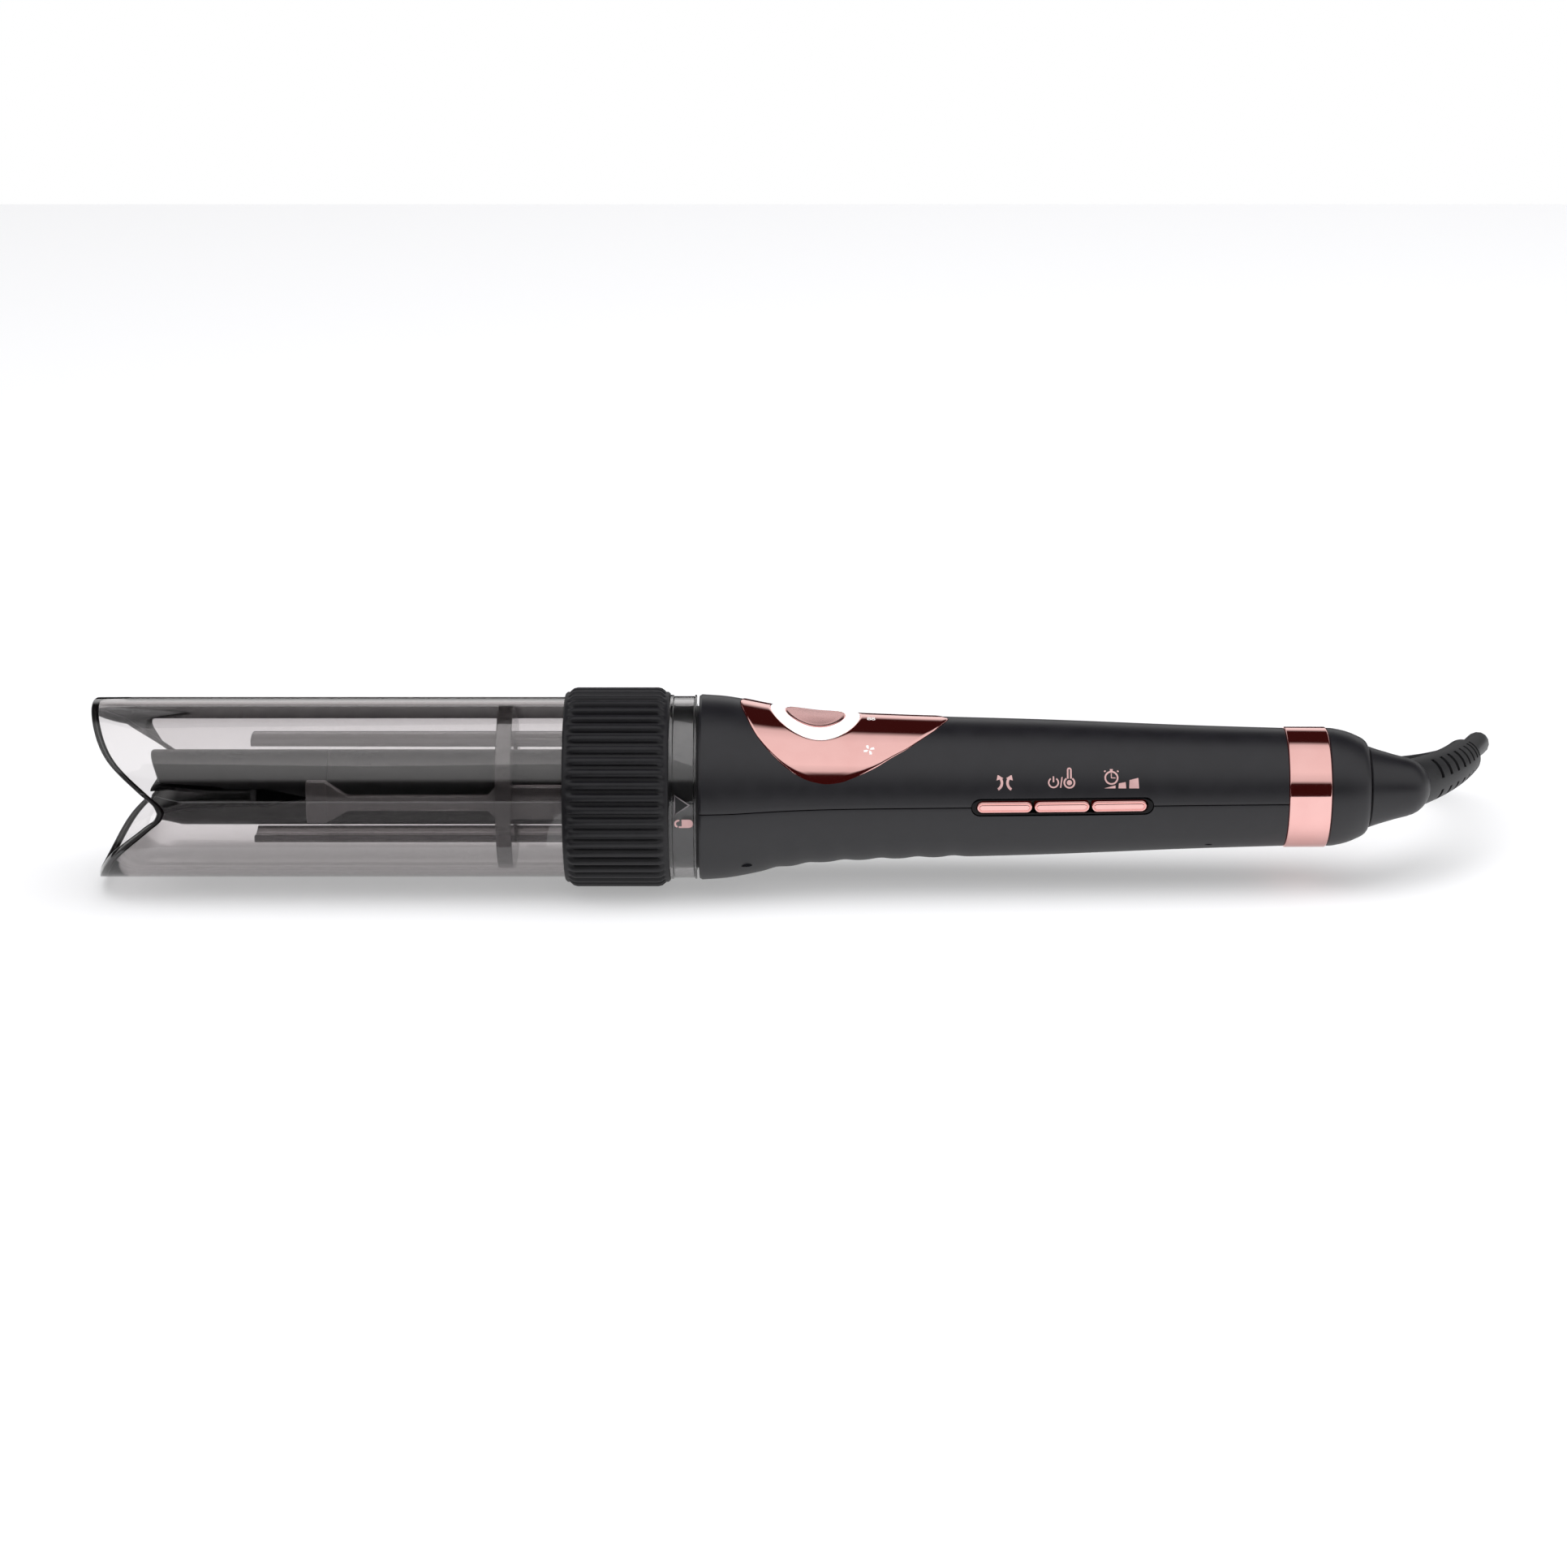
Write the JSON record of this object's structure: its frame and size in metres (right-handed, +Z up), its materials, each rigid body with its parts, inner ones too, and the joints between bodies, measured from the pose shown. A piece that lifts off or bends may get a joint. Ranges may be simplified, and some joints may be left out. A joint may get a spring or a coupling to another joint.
{
  "type": "automatic hair curler",
  "caption": "Automatic hair curler: turning heated barrel in a clear smoked chamber, ribbed grip, round handle with top and side buttons, swivel mains cord.",
  "frame": {"origin": "on the surface that the grip rests on, under the middle of the body, whose length runs from the clear tube's tips to the end of the swivel cone", "axes": "+X along the body from the clear chamber to the cord, +Z up, the side buttons on the -Y side"},
  "size_m": [0.3912, 0.1462, 0.0546],
  "materials": {
    "smoked_clear": "clear smoked polycarbonate, polished",
    "smoked_cage": "clear smoked polycarbonate, polished",
    "grip_rubber": "matte moulded rubber",
    "barrel_coating": "matte ceramic coating on aluminium",
    "lip_plastic": "heat-proof plastic",
    "hub_plastic": "heat-proof plastic",
    "steel": "ground steel",
    "heater_aluminium": "extruded heater case",
    "fuse_body": "glazed ceramic",
    "bronze": "sintered bronze",
    "brass": "plated brass",
    "nylon": "natural nylon",
    "acetal": "white acetal",
    "motor_steel": "plated steel can",
    "soft_touch": "soft-touch black",
    "rose_gold": "glossy rose-gold plating",
    "white_diffuser": "milky light guide",
    "gloss_black": "glossy black",
    "circuit_green": "solder-masked board",
    "component_black": "moulded component",
    "lamp_white": "lamp package",
    "capacitor_sleeve": "shrink sleeve",
    "cord_rubber": "flexible mains cord jacket",
    "plug_plastic": "moulded plug",
    "plug_brass": "nickel-plated pins",
    "tie_fabric": "hook-and-loop tape"
  },
  "bodies": {
    "handle": {"front_bulkhead": "hub_plastic", "front_bush": "bronze", "rear_bush": "bronze", "gear_frame": "nylon", "brush_holder": "hub_plastic", "brushes": "brass", "motor_gearbox": "motor_steel", "motor_can": "motor_steel", "motor_bracket": "nylon", "motor_screws": "steel", "handle_upper_shell": "soft_touch", "handle_lower_shell": "soft_touch", "handle_screws": "steel", "top_panel": "rose_gold", "light_ring": "white_diffuser", "control_board": "circuit_green", "curl_switch": "component_black", "ring_leds": "lamp_white", "button_bezel": "gloss_black", "side_button_board": "circuit_green", "side_switches": "component_black", "main_board": "circuit_green", "power_converter": "component_black", "filter_capacitor": "capacitor_sleeve", "tail_band": "rose_gold", "end_cap": "soft_touch", "swivel_brush_plate": "nylon"},
    "bayonet": {"bayonet_ring": "nylon"},
    "chamber": {"chamber_tube": "smoked_clear", "grip_sleeve": "grip_rubber", "lock_collar": "smoked_clear", "guide_cage": "smoked_cage"},
    "barrel": {"barrel_front": "barrel_coating", "barrel_rear": "barrel_coating", "slot_guide": "lip_plastic", "barrel_hub": "hub_plastic", "drive_shaft": "steel", "heater_block": "heater_aluminium", "thermal_fuse": "fuse_body", "slip_ring_sleeve": "nylon", "slip_rings": "brass", "driven_gear": "acetal"},
    "pinion": {"motor_pinion": "brass", "motor_shaft": "steel"},
    "curl_key": {"curl_button": "rose_gold"},
    "direction_key": {"direction_button": "rose_gold"},
    "temperature_key": {"temperature_button": "rose_gold"},
    "timer_key": {"timer_button": "rose_gold"},
    "swivel": {"swivel_cone": "soft_touch", "strain_relief": "cord_rubber", "swivel_retainer": "steel", "swivel_contact_disc": "brass", "cord": "cord_rubber", "cord_hank": "cord_rubber", "cord_ties": "tie_fabric", "cord_end": "cord_rubber", "plug_relief": "plug_plastic", "plug_body": "plug_plastic", "plug_pins": "plug_brass"}
  },
  "joints": [
    {"name": "chamber_twist", "type": "hinge", "parent": "handle", "child": "bayonet", "pos_m": [0, 0, 0.0273], "axis": [1, 0, 0], "range_deg": [0, 25]},
    {"name": "chamber_pull", "type": "slide", "parent": "bayonet", "child": "chamber", "axis": [-1, 0, 0], "range_m": [0, 0.16]},
    {"name": "barrel_spin", "type": "hinge", "parent": "handle", "child": "barrel", "pos_m": [0, 0, 0.0273], "axis": [1, 0, 0], "continuous": true},
    {"name": "pinion_spin", "type": "hinge", "parent": "handle", "child": "pinion", "pos_m": [0, 0, 0.01765], "axis": [1, 0, 0], "continuous": true},
    {"name": "curl_press", "type": "slide", "parent": "handle", "child": "curl_key", "axis": [0, 0, -1], "range_m": [0, 0.001], "stiffness_N_per_m": 900},
    {"name": "direction_press", "type": "slide", "parent": "handle", "child": "direction_key", "axis": [0, 1, 0], "range_m": [0, 0.0008], "stiffness_N_per_m": 700},
    {"name": "temperature_press", "type": "slide", "parent": "handle", "child": "temperature_key", "axis": [0, 1, 0], "range_m": [0, 0.0008], "stiffness_N_per_m": 700},
    {"name": "timer_press", "type": "slide", "parent": "handle", "child": "timer_key", "axis": [0, 1, 0], "range_m": [0, 0.0008], "stiffness_N_per_m": 700},
    {"name": "cord_swivel", "type": "hinge", "parent": "handle", "child": "swivel", "pos_m": [0, 0, 0.0273], "axis": [1, 0, 0], "continuous": true}
  ],
  "couplings": [
    {"joint": "pinion_spin", "follows": "barrel_spin", "ratio": -2.2}
  ]
}
